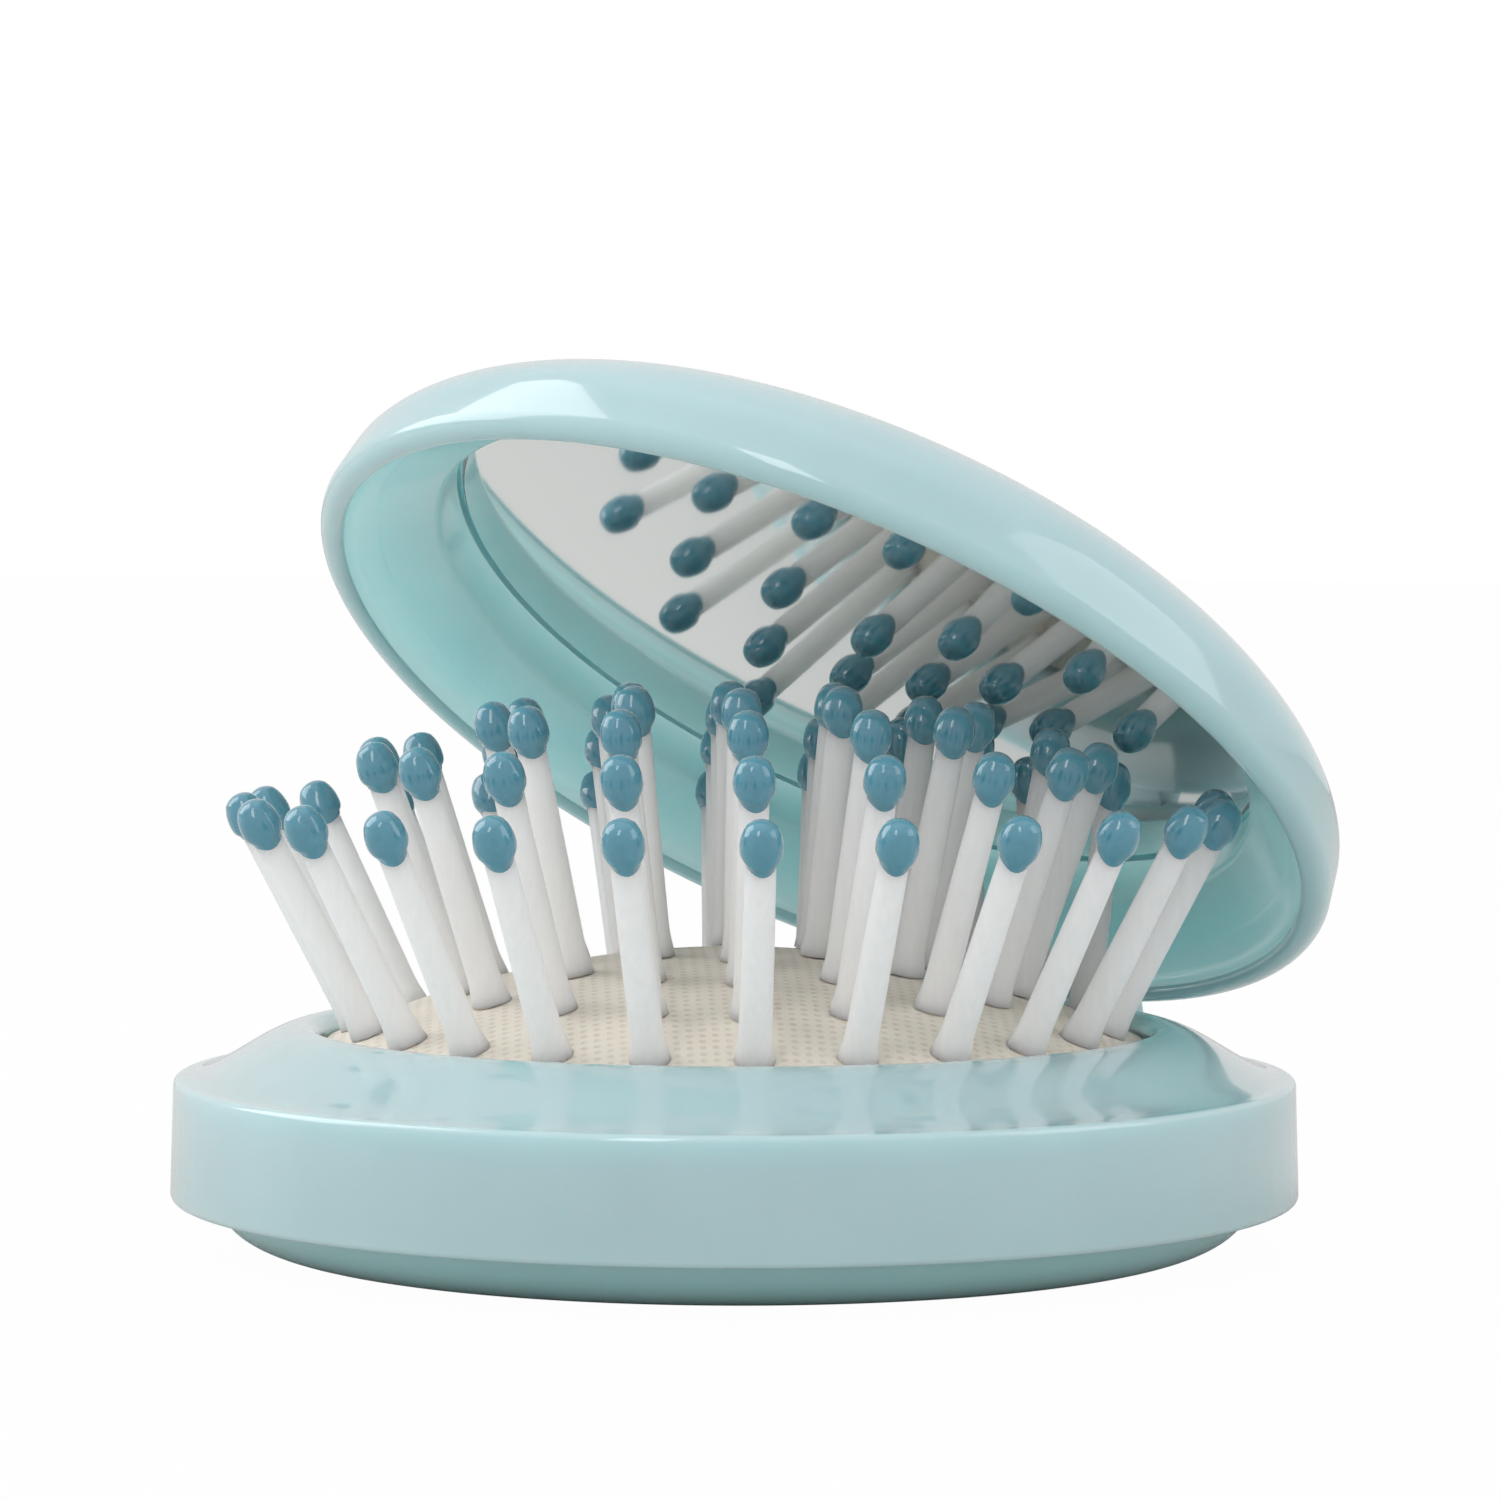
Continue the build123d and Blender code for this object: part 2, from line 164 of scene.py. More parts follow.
class PinSettings(PropertyGroup):
    """Nylon pins and their ball tips."""

    ring_pitch: size("Ring pitch", "Distance between the rings of pins", 6.0)
    foot_radius: size("Foot radius", "Radius of a pin's flared foot", 1.26)
    flare: size("Flare", "Height of the flare above the cushion", 2.6)
    root: size("Root", "How far a pin starts under the cushion, before it is trimmed", 1.2)
    root_flare: size("Root flare", "How much wider a pin is where it starts", 0.3)
    seat: size("Seat", "Gap between a trimmed pin and the cushion", 0.01)
    neck_radius: size("Neck radius", "Radius above the foot", 1.02)
    top_radius: size("Top radius", "Radius under the tip", 0.9)
    tip_radius: size("Tip radius", "Largest radius of a ball tip", 1.31)
    tip_length: size("Tip length", "Length of a ball tip", 3.4)
    tip_skin: size("Tip skin", "Thickness of a tip's lower edge on its pin", 0.1)
    tip_swing: amount("Tip swing", "How far that edge runs up and down, in half lengths of a tip", 0.15)
    tip_facing: angle("Tip facing", "Direction that the pointed side of every tip faces", -38.0)
    sides: IntProperty(name="Sides", description="Faces round a pin", default=24, min=8)
    tint: colour("Pin colour", "Colour of the nylon", (0.93, 0.91, 0.895))
    tip_tint: colour("Tip colour", "Colour of the ball tips", (0.085, 0.285, 0.380))


class LidSettings(PropertyGroup):
    """Shallow lid with the mirror in its recess."""

    open_angle: angle("Open angle", "How far the lid stands open", 33.8)
    seat: size("Seat", "Gap between the shut lid and the ring", 0.45)
    radius: size("Radius", "Outer radius just above the rim", 35.2)
    rim_width: size("Rim width", "Thickness of the wall at the rim", 1.8)
    rim_round: size("Rim round", "Radius of the rim's outer edge", 1.2)
    rim_rise: size("Rim rise", "How far the rim's inner edge stands back", 0.6)
    rim_straight: size("Rim straight", "Height of the straight stretch inside the rim", 0.3)
    height: size("Height", "Height of the crown above the rim", 10.3)
    crown_radius: size("Crown radius", "Radius where the shoulder meets the crown", 26.5)
    crown_rise: size("Crown rise", "Rise of the crown inside that radius", 1.0)
    shoulder_height: size("Shoulder height", "Height where the shoulder starts", 3.45)
    shoulder_in: size("Shoulder in", "How far the wall leans in up to the shoulder", 0.32)
    crease_radius: size("Crease radius", "Radius of the crease in the funnel inside the rim", 31.8)
    crease_depth: size("Crease depth", "Depth of that crease below the rim", 2.7)
    funnel_swell: size("Funnel swell", "How far the funnel swells between the crease and the rim", 0.75)
    well_depth: size("Well depth", "Depth of the corner where the mirror's well starts", 4.3)
    well_round: size("Well round", "Radius of that corner", 0.7)
    ledge_depth: size("Ledge depth", "Depth of the mirror's recess below the rim", 7.57)
    mirror_radius: size("Mirror radius", "Radius of the glass", 28.15)
    mirror_thickness: size("Glass", "Thickness of the glass", 0.55)
    mirror_sink: size("Mirror sink", "Depth of the glass below the ledge", 0.13)
    mirror_gap: size("Mirror gap", "Gap round the glass", 0.2)
    mirror_bevel: size("Mirror bevel", "Width of the ground edge of the glass", 0.3)
    tape_thickness: size("Tape", "Thickness of the adhesive disc", 0.1)
    # Painted light: the inside's tint is the case plastic with more red, and with its deep glow it
    # paints in the light that shines through the thin wall and bounces inside the lid
    tint: colour("Inside colour", "Colour of the plastic inside the lid", (0.49, 0.605, 0.625))
    glow: amount("Glow", "Share of the light that goes into the plastic inside the lid", 0.75)
    glow_depth: size("Glow depth", "How far light goes in that plastic", 20.0)


class HingeSettings(PropertyGroup):
    """Knuckles and pin at the back."""

    barrel_radius: size("Barrel radius", "Radius of the knuckles", 1.3)
    pin_radius: size("Pin radius", "Radius of the hinge pin", 0.75)
    width: size("Width", "Overall width of the knuckles", 14.0)
    lid_width: size("Lid knuckle", "Width of the lid's knuckle", 5.8)
    gap: size("Gap", "Gap between knuckles", 0.2)
    pin_clearance: size("Pin clearance", "Gap between the pin and its bore", 0.03)
    edge_round: size("Edge round", "Radius of the knuckles' edges", 0.2)
    web_depth: size("Web depth", "Depth of the webs behind the knuckles", 3.6)
    web_rise: size("Web rise", "Height above the rim where the lid's web starts", 0.85)
    web_start: size("Web start", "How far out on the rounded rim it starts", 0.9)
    web_lap: size("Web lap", "How far it reaches into its knuckle", 0.1)


class StudioSettings(PropertyGroup):
    """Camera and lamps."""

    lens: amount("Lens", "Focal length in millimetres", 130.5)
    sensor: amount("Sensor", "Width of the sensor in millimetres", 36.0)
    roll: amount("Roll", "Turn of the camera about its line of sight", 0.0025)
    side_light: power("Side light", "Power of the window at the left", 2.3)
    strip_light: power("Strip light", "Power of the narrow window in front", 0.9)
    right_light: power("Right light", "Power of the window at the right", 1.0)
    top_light: power("Top light", "Power of the soft light above", 0.35)
    fill: amount("Fill", "Strength of the light from all round", 0.76)
    floor_white: amount("Floor white", "Share of plain white in the floor that the camera sees", 0.98)
    floor_tint: colour("Floor colour", "Colour of the floor's paper", (0.6, 0.6, 0.59))


# ---------------------------------------------------------------- modelling helpers


def deselect():
    """Leaves edit mode and lets go of everything."""
    if bpy.context.object is not None and bpy.context.object.mode != "OBJECT":
        bpy.ops.object.mode_set(mode="OBJECT")
    bpy.ops.object.select_all(action="DESELECT")


def take(piece):
    """Makes a piece the only selected and active object."""
    deselect()
    piece.select_set(True)
    bpy.context.view_layer.objects.active = piece


def arc(middle, radius, start, end, steps=8):
    """Points of a round stretch, in degrees, as (radius, height)."""
    turns = [radians(start + (end - start) * i / steps) for i in range(steps + 1)]
    return [(middle[0] + radius * cos(a), middle[1] + radius * sin(a)) for a in turns]


def bend(start, lead, trail, end, steps=16):
    """Points of a smooth bend with two handles."""
    points = []
    for i in range(steps + 1):
        t = i / steps
        shares = ((1 - t) ** 3, 3 * t * (1 - t) ** 2, 3 * t**2 * (1 - t), t**3)
        corners = (start, lead, trail, end)
        points.append(tuple(sum(s * c[k] for s, c in zip(shares, corners)) for k in (0, 1)))
    return points


def cap_drop(radius, edge_radius, rise):
    """How far a spherical cap falls, at a radius, below its crown."""
    ball = (edge_radius**2 + rise**2) / (2 * rise)
    return ball - sqrt(ball**2 - radius**2)


def turned(name, stops, sides=192, smooth=40.0):
    """A circle drawn out, ring by ring, through stops of (radius, height).

    A stop on the axis closes the piece there. Without one, the last stop meets the first."""
    deselect()
    from_axis = stops[0][0] < 1e-9
    to_axis = stops[-1][0] < 1e-9
    rings = list(stops[1:] if from_axis else stops)
    last = rings.pop() if to_axis else None
    if not (from_axis or to_axis):
        rings.append(rings[0])
    radius, height = rings[0]
    bpy.ops.mesh.primitive_circle_add(vertices=sides, radius=radius, location=(0, 0, height))
    piece = bpy.context.object
    piece.name = name
    bpy.ops.object.transform_apply(location=True, rotation=False, scale=False)
    bpy.ops.object.mode_set(mode="EDIT")
    bpy.ops.mesh.select_all(action="SELECT")
    if from_axis:
        close_ring(stops[0][1] - height)
        bpy.ops.mesh.select_all(action="DESELECT")
        select_ring(piece, radius, height)
    for next_radius, next_height in rings[1:]:
        bpy.ops.mesh.extrude_edges_move(
            TRANSFORM_OT_translate={"value": (0, 0, next_height - height)}
        )
        scale = next_radius / radius
        bpy.ops.transform.resize(value=(scale, scale, 1), center_override=(0, 0, next_height))
        radius, height = next_radius, next_height
    if to_axis:
        close_ring(last[1] - height)
    bpy.ops.mesh.select_all(action="SELECT")
    bpy.ops.mesh.remove_doubles(threshold=1e-7)
    bpy.ops.mesh.normals_make_consistent(inside=False)
    bpy.ops.object.mode_set(mode="OBJECT")
    bpy.ops.object.shade_smooth_by_angle(angle=radians(smooth))
    return piece


def close_ring(step):
    """Draws the selected ring out once more and gathers it at its middle."""
    bpy.ops.mesh.extrude_edges_move(TRANSFORM_OT_translate={"value": (0, 0, step)})
    bpy.ops.mesh.merge(type="CENTER")


def select_ring(piece, radius, height):
    """Selects the edges of one ring, in edit mode."""
    bpy.ops.object.mode_set(mode="OBJECT")
    for vertex in piece.data.vertices:
        x, y, z = vertex.co
        vertex.select = abs(sqrt(x * x + y * y) - radius) < 1e-6 and abs(z - height) < 1e-6
    for edge in piece.data.edges:
        edge.select = all(piece.data.vertices[i].select for i in edge.vertices)
    bpy.ops.object.mode_set(mode="EDIT")


def settle(piece, matrix):
    """Puts a piece where a matrix says and leaves that place in its mesh."""
    take(piece)
    piece.matrix_world = matrix
    bpy.ops.object.transform_apply(location=True, rotation=True, scale=True)
    return piece


def copy_of(piece, name):
    """A copy with a mesh of its own."""
    take(piece)
    bpy.ops.object.duplicate(linked=False)
    twin = bpy.context.object
    twin.name = name
    return twin


def joined(pieces, name):
    """Several meshes as one piece."""
    deselect()
    for piece in pieces:
        piece.select_set(True)
    bpy.context.view_layer.objects.active = pieces[0]
    bpy.ops.object.join()
    pieces[0].name = name
    return pieces[0]


def rounded_block(name, corners, x_from, x_to, edge):
    """A block whose side view is four (y, z) corners, with its edges rounded."""
    deselect()
    bpy.ops.mesh.primitive_cube_add(size=2.0)
    block = bpy.context.object
    block.name = name
    for vertex in block.data.vertices:
        x, y, z = vertex.co
        at = {(-1, -1): 0, (1, -1): 1, (1, 1): 2, (-1, 1): 3}[(round(y), round(z))]
        vertex.co = (x_from if x < 0 else x_to, *corners[at])
    bpy.ops.object.mode_set(mode="EDIT")
    bpy.ops.mesh.select_all(action="SELECT")
    bpy.ops.mesh.bevel(offset=edge, segments=3, affect="EDGES")
    bpy.ops.mesh.normals_make_consistent(inside=False)
    bpy.ops.object.mode_set(mode="OBJECT")
    bpy.ops.object.shade_smooth_by_angle(angle=radians(40))
    return block


def knuckle(name, x_from, x_to, corners):
    """Hinge barrel with a rounded edge and a bore, on its web."""
    hinge = bpy.context.scene.brush_hinge
    length = x_to - x_from
    edge = hinge.edge_round
    bore = hinge.pin_radius + hinge.pin_clearance
    stops = [(bore, 0), (bore, length)]
    stops += arc((hinge.barrel_radius - edge, length - edge), edge, 90, 0, 4)
    stops += arc((hinge.barrel_radius - edge, edge), edge, 0, -90, 4)
    barrel = turned(name, stops, sides=48)
    settle(barrel, Matrix.Translation((x_from, HINGE[1], HINGE[2])) @ Matrix.Rotation(pi / 2, 4, "Y"))
    web = rounded_block(name + "_web", corners, x_from, x_to, edge)
    return joined([barrel, web], name)


# ---------------------------------------------------------------- finishes


def finish_base(name, tint, roughness, **sockets):
    """A new material with its Principled node set."""
    material = bpy.data.materials.new(name)
    material.use_nodes = True
    shader = material.node_tree.nodes["Principled BSDF"]
    shader.inputs["Base Color"].default_value = (*tint, 1.0)
    shader.inputs["Roughness"].default_value = roughness
    for label, value in sockets.items():
        shader.inputs[label.replace("_", " ")].default_value = value
    return material, material.node_tree, shader


def add_node(tree, kind, **values):
    """A node with some of its properties set."""
    node = tree.nodes.new(kind)
    for key, value in values.items():
        setattr(node, key, value)
    return node


def object_space(tree, scale=(1, 1, 1)):
    """Object coordinates in millimetres times a scale."""
    coordinates = add_node(tree, "ShaderNodeTexCoord")
    mapping = add_node(tree, "ShaderNodeMapping")
    mapping.inputs["Scale"].default_value = [s / MM for s in scale]
    tree.links.new(coordinates.outputs["Object"], mapping.inputs["Vector"])
    return mapping.outputs["Vector"]


def noise(tree, vector, scale, detail=3.0):
    node = add_node(tree, "ShaderNodeTexNoise")
    node.inputs["Scale"].default_value = scale
    node.inputs["Detail"].default_value = detail
    tree.links.new(vector, node.inputs["Vector"])
    return node.outputs["Fac"]


def spread(tree, value, low, high):
    """A 0 to 1 value spread between two others."""
    node = add_node(tree, "ShaderNodeMapRange")
    node.inputs["To Min"].default_value = low
    node.inputs["To Max"].default_value = high
    tree.links.new(value, node.inputs["Value"])
    return node.outputs["Result"]


def bump(tree, shader, height, distance, strength=1.0):
    node = add_node(tree, "ShaderNodeBump")
    node.inputs["Distance"].default_value = distance
    node.inputs["Strength"].default_value = strength
    tree.links.new(height, node.inputs["Height"])
    tree.links.new(node.outputs["Normal"], shader.inputs["Normal"])


def two_tints(tree, shader, factor, low, high):
    """Base colour that runs between two tints."""
    mix = add_node(tree, "ShaderNodeMix", data_type="RGBA")
    mix.inputs["A"].default_value = (*low, 1.0)
    mix.inputs["B"].default_value = (*high, 1.0)
    tree.links.new(factor, mix.inputs["Factor"])
    tree.links.new(mix.outputs["Result"], shader.inputs["Base Color"])


def shade_of(tint, factor):
    return tuple(min(1.0, c * factor) for c in tint)


def moulded_plastic(name, tint, roughness=0.15, glow=0.75, depth=4.0 * MM, red=0.55, coat=0.9):
    """Glossy moulded plastic with a faint ripple and cloudiness.

    A share of the light, glow, goes in to a depth, and red light goes less deep."""
    material, tree, shader = finish_base(
        name,
        tint,
        roughness,
        Subsurface_Weight=glow,
        Subsurface_Scale=depth,
        Coat_Weight=coat,
        Coat_Roughness=0.03,
    )
    shader.inputs["Subsurface Radius"].default_value = (red, 1.0, 1.0)
    space = object_space(tree)
    cloud = noise(tree, space, 0.12, 2.0)
    two_tints(tree, shader, cloud, shade_of(tint, 0.95), shade_of(tint, 1.05))
    ripple = noise(tree, space, 0.35, 1.0)
    bump(tree, shader, ripple, 0.012 * MM)
    haze = noise(tree, space, 0.9, 4.0)
    tree.links.new(spread(tree, haze, roughness * 0.8, roughness * 1.25), shader.inputs["Roughness"])
    return material


def nylon(name, tint):
    """White nylon with faint drawing marks along Z."""
    material, tree, shader = finish_base(
        name, tint, 0.36, Subsurface_Weight=0.9, Subsurface_Scale=5.0 * MM
    )
    shader.inputs["Subsurface Radius"].default_value = (1.0, 1.0, 0.9)
    space = object_space(tree, (2.2, 2.2, 0.12))
    streaks = noise(tree, space, 1.0, 3.0)
    two_tints(tree, shader, streaks, shade_of(tint, 0.93), shade_of(tint, 1.06))
    bump(tree, shader, streaks, 0.03 * MM, 0.6)
    return material


def tip_enamel(name, tint):
    """Glossy coloured tip with slight cloudiness."""
    material, tree, shader = finish_base(
        name,
        tint,
        0.1,
        Coat_Weight=1.0,
        Coat_Roughness=0.02,
        Subsurface_Weight=0.25,
        Subsurface_Scale=0.8 * MM,
    )
    shader.inputs["Subsurface Radius"].default_value = (0.5, 1.0, 1.0)
    space = object_space(tree)
    cloud = noise(tree, space, 1.6, 3.0)
    two_tints(tree, shader, cloud, shade_of(tint, 0.86), shade_of(tint, 1.16))
    bump(tree, shader, noise(tree, space, 4.0, 2.0), 0.012 * MM)
    return material


def embossed_rubber(name, tint, dimple_shade_tint, pitch):
    """Matt rubber with staggered rows of small sunk dots, each painted darker as painted shade in its
    dimple.
    """
    material, tree, shader = finish_base(
        name, tint, 0.62, Subsurface_Weight=0.15, Subsurface_Scale=1.0 * MM
    )
    coordinates = add_node(tree, "ShaderNodeTexCoord")
    apart = add_node(tree, "ShaderNodeSeparateXYZ")
    tree.links.new(coordinates.outputs["Object"], apart.inputs["Vector"])
    waves = []
    for axis in ("X", "Y"):
        turn = add_node(tree, "ShaderNodeMath", operation="MULTIPLY")
        turn.inputs[1].default_value = 2 * pi / (2 * pitch)
        wave = add_node(tree, "ShaderNodeMath", operation="SINE")
        tree.links.new(apart.outputs[axis], turn.inputs[0])
        tree.links.new(turn.outputs["Value"], wave.inputs[0])
        waves.append(wave.outputs["Value"])
    weave = add_node(tree, "ShaderNodeMath", operation="MULTIPLY")
    tree.links.new(waves[0], weave.inputs[0])
    tree.links.new(waves[1], weave.inputs[1])
    dots = add_node(tree, "ShaderNodeMapRange", interpolation_type="SMOOTHSTEP")
    dots.inputs["From Min"].default_value = 0.15
    dots.inputs["From Max"].default_value = 0.85
    tree.links.new(weave.outputs["Value"], dots.inputs["Value"])
    space = object_space(tree)
    # Painted shade: the dots take the darker tint, by a random amount, as the shade in each dimple
    dimple_shade_mask = add_node(tree, "ShaderNodeMath", operation="MULTIPLY")
    tree.links.new(dots.outputs["Result"], dimple_shade_mask.inputs[0])
    tree.links.new(spread(tree, noise(tree, space, 0.5, 3.0), 0.1, 1.1), dimple_shade_mask.inputs[1])
    two_tints(tree, shader, dimple_shade_mask.outputs["Value"], tint, dimple_shade_tint)
    bump(tree, shader, dots.outputs["Result"], -0.06 * MM, 0.8)
    return material


def silvering(name):
    """Mirror silver behind clear glass."""
    material, tree, shader = finish_base(name, (0.90, 0.925, 0.915), 0.045, Metallic=1.0)
    space = object_space(tree)
    smear = noise(tree, space, 0.08, 2.0)
    tree.links.new(spread(tree, smear, 0.035, 0.06), shader.inputs["Roughness"])
    return material


def glass_edge(name):
    """Ground edge of the mirror glass."""
    material, tree, shader = finish_base(
        name, (0.88, 0.90, 0.87), 0.5, Subsurface_Weight=0.4, Subsurface_Scale=0.5 * MM
    )
    bump(tree, shader, noise(tree, object_space(tree), 2.2, 3.0), 0.12 * MM)
    return material


def drawn_steel(name):
    """Steel wire with fine lines along X."""
    material, tree, shader = finish_base(name, (0.60, 0.60, 0.61), 0.28, Metallic=1.0)
    lines = noise(tree, object_space(tree, (0.1, 9.0, 9.0)), 1.0, 3.0)
    bump(tree, shader, lines, 0.01 * MM)
    tree.links.new(spread(tree, lines, 0.2, 0.4), shader.inputs["Roughness"])
    return material


def foam_tape(name):
    """Closed-cell adhesive foam."""
    material, tree, shader = finish_base(name, (0.62, 0.62, 0.58), 0.85)
    cells = add_node(tree, "ShaderNodeTexVoronoi")
    cells.inputs["Scale"].default_value = 4.0
    tree.links.new(object_space(tree), cells.inputs["Vector"])
    bump(tree, shader, cells.outputs["Distance"], 0.05 * MM)
    return material


def dress(piece, material):
    piece.data.materials.clear()
    piece.data.materials.append(material)


def place(piece, body, slot_name, *nodes):
    """Lets a piece ride on its body in place of its CAD nodes."""
    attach(piece, body)
    if nodes:
        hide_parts(*nodes)


def shared(name, make):
    """The named material, made the first time that it is asked for."""
    return bpy.data.materials.get(name) or make()


def case_plastic():
    tint = tuple(bpy.context.scene.brush_case.tint)
    return shared("case_plastic", lambda: moulded_plastic("case_plastic", tint))


def knuckle_plastic():
    """The case plastic in the small knuckles, where light goes less deep."""
    tint = tuple(bpy.context.scene.brush_case.tint)
    return shared(
        "knuckle_plastic",
        lambda: moulded_plastic("knuckle_plastic", tint, glow=0.3, depth=1.0 * MM),
    )


def lit_plastic():
    """The case plastic inside the lid, a lit copy: its own tint and deep glow paint in the light that
    shines through the thin wall and bounces inside.
    """
    lid = bpy.context.scene.brush_lid
    tint = tuple(lid.tint)
    return moulded_plastic("lit_plastic", tint, 0.2, lid.glow, lid.glow_depth, red=0.47, coat=0.4)


# ---------------------------------------------------------------- pieces


class BRUSH_OT_base(Operator):
    """Model the base ring with its shoulder, lip and knuckles"""

    bl_idname = "brush.base"
    bl_label = "Base ring"

    def execute(self, context):
        case = context.scene.brush_case
        hinge = context.scene.brush_hinge
        low = RING_BOX[0][2]
        top = low + case.band_height
        lip = top + case.lip_rise
        edge = case.edge_round
        top_r = case.ring_radius - case.draft
        lip_r = case.mouth_radius + case.lip_radius
        run = top_r - edge - lip_r
        shelf = lip - case.shelf_depth
        pocket = shelf - case.pocket_depth
        bead_r = case.bore_radius - case.bead_width
        bead_z = low + case.bead_height
        stops = arc((case.ring_radius - edge, low + edge), edge, -90, 0, 5)
        stops += arc((top_r - edge, top - edge), edge, 0, 90, 5)
        shoulder = bend(
            (top_r - edge, top),
            (top_r - edge - 0.31 * run, top),
            (lip_r + 0.33 * run, lip),
            (lip_r, lip),
            28,
        )
        stops += shoulder[1:]
        stops += arc((lip_r, lip - case.lip_radius), case.lip_radius, 90, 180, 10)[1:]
        stops += [
            (case.mouth_radius, shelf),
            (case.flange_radius, shelf),
            (case.flange_radius, pocket),
            (case.flange_radius + case.pocket_step, pocket),
            (case.bore_radius, top - case.roof),
            (case.bore_radius, bead_z),
            (bead_r, bead_z),
            (bead_r, low),
        ]
        ring = turned("base_ring", stops)
        dress(ring, case_plastic())
        place(ring, "base", "case", "base_shell")
        half = hinge.width / 2
        inner = hinge.lid_width / 2 + hinge.gap
        root = sqrt(case.ring_radius**2 - half**2) - edge
        corners = [
            (root, HINGE[2] - hinge.web_depth),
            (case.ring_radius, HINGE[2] - hinge.web_depth),
            (HINGE[1] + hinge.barrel_radius * 0.97, HINGE[2]),
            (root, HINGE[2]),
        ]
        for side, start, end in (("left", -half, -inner), ("right", inner, half)):
            piece = knuckle("base_knuckle_" + side, start, end, corners)
            dress(piece, knuckle_plastic())
            place(piece, "base", "case")
        return {"FINISHED"}


class BRUSH_OT_button(Operator):
    """Model the domed foot with its skirt, stop lip and boss"""

    bl_idname = "brush.button"
    bl_label = "Push button"

    def execute(self, context):
        button = context.scene.brush_button
        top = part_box("push_button")[1][2]
        inner = button.skirt_radius - button.wall
        lip_r = button.skirt_radius + button.lip_width
        lip_z = top - button.lip_height
        stops = [(0, 0), (button.foot_radius * 0.5, 0)]
        stops += bend(
            (button.foot_radius, 0),
            (button.foot_radius + 0.66 * (button.skirt_radius - button.foot_radius), 0),
            (button.skirt_radius, 0.5 * button.drop),
            (button.skirt_radius, button.drop),
            20,
        )
        stops += [
            (button.skirt_radius, lip_z),
            (lip_r, lip_z),
            (lip_r, top),
            (inner, top),
            (inner, button.drop + button.lip_width),
            (button.foot_radius + button.wall, button.floor_height),
            (button.boss_radius, button.floor_height),
            (button.boss_radius, button.boss_height),
            (0, button.boss_height),
        ]
        foot = turned("push_foot", stops)
        # The foot takes a lighter copy of the case plastic, whose tint paints in light bounced up from
        # the floor
        dress(foot, moulded_plastic("foot_lit_plastic", tuple(button.tint), 0.2, glow=0.4, depth=3.0 * MM))
        place(foot, "foot_button", "button", "push_button")
        return {"FINISHED"}


class BRUSH_OT_cushion(Operator):
    """Model the domed rubber cushion with its clamped flange"""

    bl_idname = "brush.cushion"
    bl_label = "Cushion"

    def execute(self, context):
        pad = context.scene.brush_cushion
        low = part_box("cushion_pad")[0][2]
        flange_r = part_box("cushion_pad")[1][0]
        flange = low + pad.flange
        edge = pad.edge_round
        outer = [pad.radius * i / 24 for i in range(24)] + [pad.radius - edge]
        stops = [(r, CROWN_Z - cap_drop(r, pad.radius, pad.rise)) for r in outer]
        rim = stops[-1][1]
        stops += arc((pad.radius - edge, rim - edge), edge, 80, 0, 4)
        inner_r = pad.radius - pad.thickness
        stops += [(pad.radius, flange), (flange_r, flange), (flange_r, low), (inner_r, low)]
        inner = [inner_r * (1 - i / 12) for i in range(13)]
        stops += [(r, CROWN_Z - pad.thickness - cap_drop(r, pad.radius, pad.rise)) for r in inner]
        cushion = turned("rubber_cushion", stops, smooth=50)
        dress(
            cushion,
            embossed_rubber("cushion_rubber", tuple(pad.tint), tuple(pad.dimple_shade_tint), pad.dot_pitch),
        )
        place(cushion, "base", "cushion", "cushion_pad")
        fold_with_lid(cushion)
        return {"FINISHED"}


def fold_with_lid(piece):
    """Gives the piece a mesh of its own."""
    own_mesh(piece)


def pin_lean(ring, direction):
    """Lean of a pin: less beside the hinge, where the lid hangs low."""
    relief = max(0.0, cos(radians(2 * (direction - 90)))) ** 0.75
    if sin(radians(direction)) < 0:
        relief = 0.0
    return PIN_LEAN[ring] - LID_SIDE_RELIEF[ring] * relief


def pin_matrix(ring, direction):
    """Where a pin crosses the cushion's surface, with its lean."""
    pad = bpy.context.scene.brush_cushion
    radius = bpy.context.scene.brush_pins.ring_pitch * (ring + 1)
    height = CROWN_Z - cap_drop(radius, pad.radius, pad.rise)
    turn = Matrix.Rotation(radians(direction), 4, "Z")
    lean = Matrix.Rotation(radians(pin_lean(ring, direction)), 4, "Y")
    return turn @ Matrix.Translation((radius, 0, height)) @ lean


def pin_directions(ring):
    return [PIN_TURN + 360 * i / PINS_IN_RING[ring] for i in range(PINS_IN_RING[ring])]


def cushion_normal(ring, direction):
    """Outward normal of the cushion under a pin."""
    pad = bpy.context.scene.brush_cushion
    ball = (pad.radius**2 + pad.rise**2) / (2 * pad.rise)
    slope = asin(bpy.context.scene.brush_pins.ring_pitch * (ring + 1) / ball)
    across = Vector((cos(radians(direction)), sin(radians(direction)), 0))
    return across * sin(slope) + Vector((0, 0, cos(slope)))


